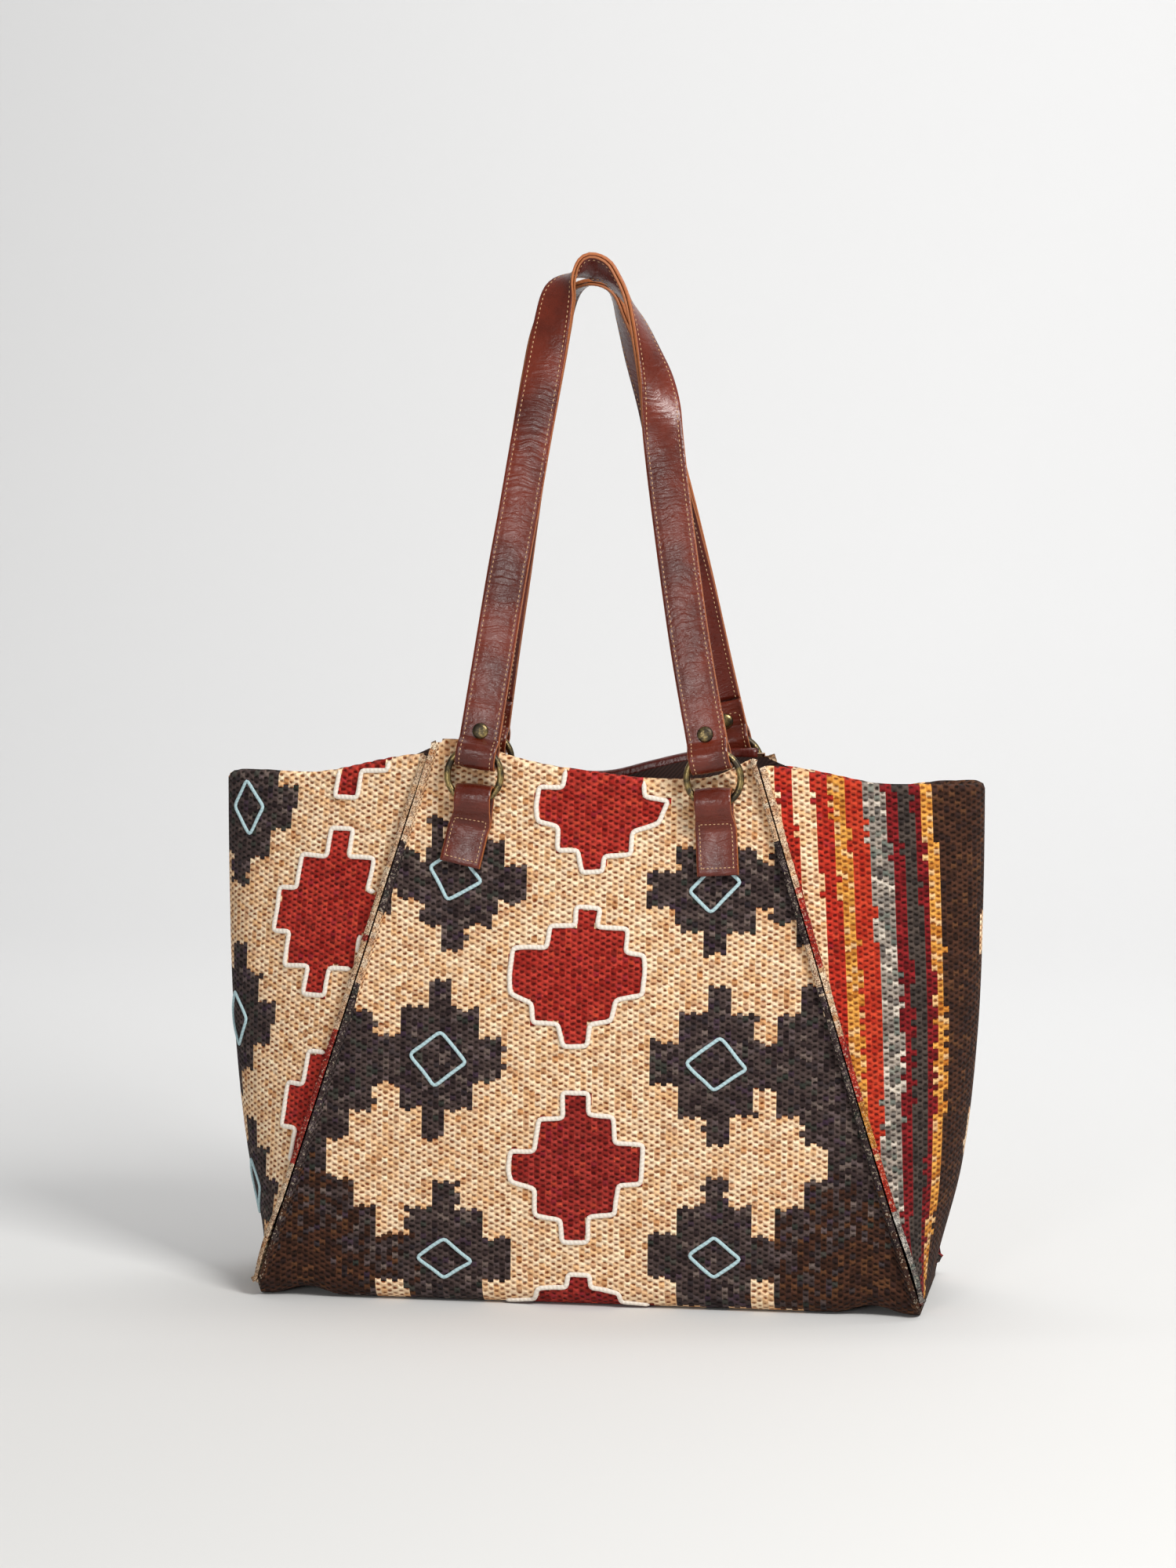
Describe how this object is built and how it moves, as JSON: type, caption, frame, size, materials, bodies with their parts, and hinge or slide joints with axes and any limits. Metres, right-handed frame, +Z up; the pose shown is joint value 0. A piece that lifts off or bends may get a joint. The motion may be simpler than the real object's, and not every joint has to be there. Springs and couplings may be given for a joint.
{
  "type": "kilim handbag",
  "caption": "Open tote of woven kilim with winged gussets, outward seam fins, ring-hung leather strap handles and a dark lining.",
  "frame": {"origin": "middle of the base, on the floor", "axes": "+X to the right wing as seen from the front, +Y from front to back, +Z up"},
  "size_m": [0.47, 0.1432, 0.6362],
  "materials": {
    "kilim": "thick wool weave in red, dark grey, beige and brown",
    "gusset_kilim": "thick wool weave in red, dark grey, gold and brown",
    "lining": "matt dark brown cloth",
    "leather": "semi-gloss reddish brown grain with tan cut edges",
    "hardware": "antique brass"
  },
  "bodies": {
    "bag": {"body_panel": "kilim", "left_gusset": "gusset_kilim", "right_gusset": "gusset_kilim", "lining": "lining", "back_binding": "leather", "front_left_tab": "leather", "front_right_tab": "leather", "back_left_tab": "leather", "back_right_tab": "leather"},
    "front_left_ring": {"front_left_ring": "hardware"},
    "front_right_ring": {"front_right_ring": "hardware"},
    "back_left_ring": {"back_left_ring": "hardware"},
    "back_right_ring": {"back_right_ring": "hardware"},
    "front_handle": {"front_strap": "leather", "front_strap_backing": "leather", "front_left_rivet": "hardware", "front_right_rivet": "hardware"},
    "back_handle": {"back_strap": "leather", "back_strap_backing": "leather", "back_left_rivet": "hardware", "back_right_rivet": "hardware"}
  },
  "joints": [
    {"name": "front_left_ring_swing", "type": "hinge", "parent": "bag", "child": "front_left_ring", "pos_m": [-0.0705, -0.0504, 0.30815], "axis": [1, 0, 0], "range_deg": [0, 120]},
    {"name": "front_right_ring_swing", "type": "hinge", "parent": "bag", "child": "front_right_ring", "pos_m": [0.0758, -0.0504, 0.30815], "axis": [1, 0, 0], "range_deg": [0, 120]},
    {"name": "front_strap_swing", "type": "hinge", "parent": "front_left_ring", "child": "front_handle", "pos_m": [-0.0685, -0.0504, 0.33443], "axis": [1, 0, 0], "range_deg": [0, 30]},
    {"name": "back_left_ring_swing", "type": "hinge", "parent": "bag", "child": "back_left_ring", "pos_m": [-0.0818, 0.0504, 0.30815], "axis": [-1, 0, 0], "range_deg": [0, 120]},
    {"name": "back_right_ring_swing", "type": "hinge", "parent": "bag", "child": "back_right_ring", "pos_m": [0.0758, 0.0504, 0.30815], "axis": [-1, 0, 0], "range_deg": [0, 120]},
    {"name": "back_strap_swing", "type": "hinge", "parent": "back_left_ring", "child": "back_handle", "pos_m": [-0.0798, 0.0504, 0.33443], "axis": [-1, 0, 0], "range_deg": [0, 30]}
  ],
  "couplings": [
    {"joint": "front_right_ring_swing", "follows": "front_left_ring_swing", "ratio": 1},
    {"joint": "back_right_ring_swing", "follows": "back_left_ring_swing", "ratio": 1}
  ]
}
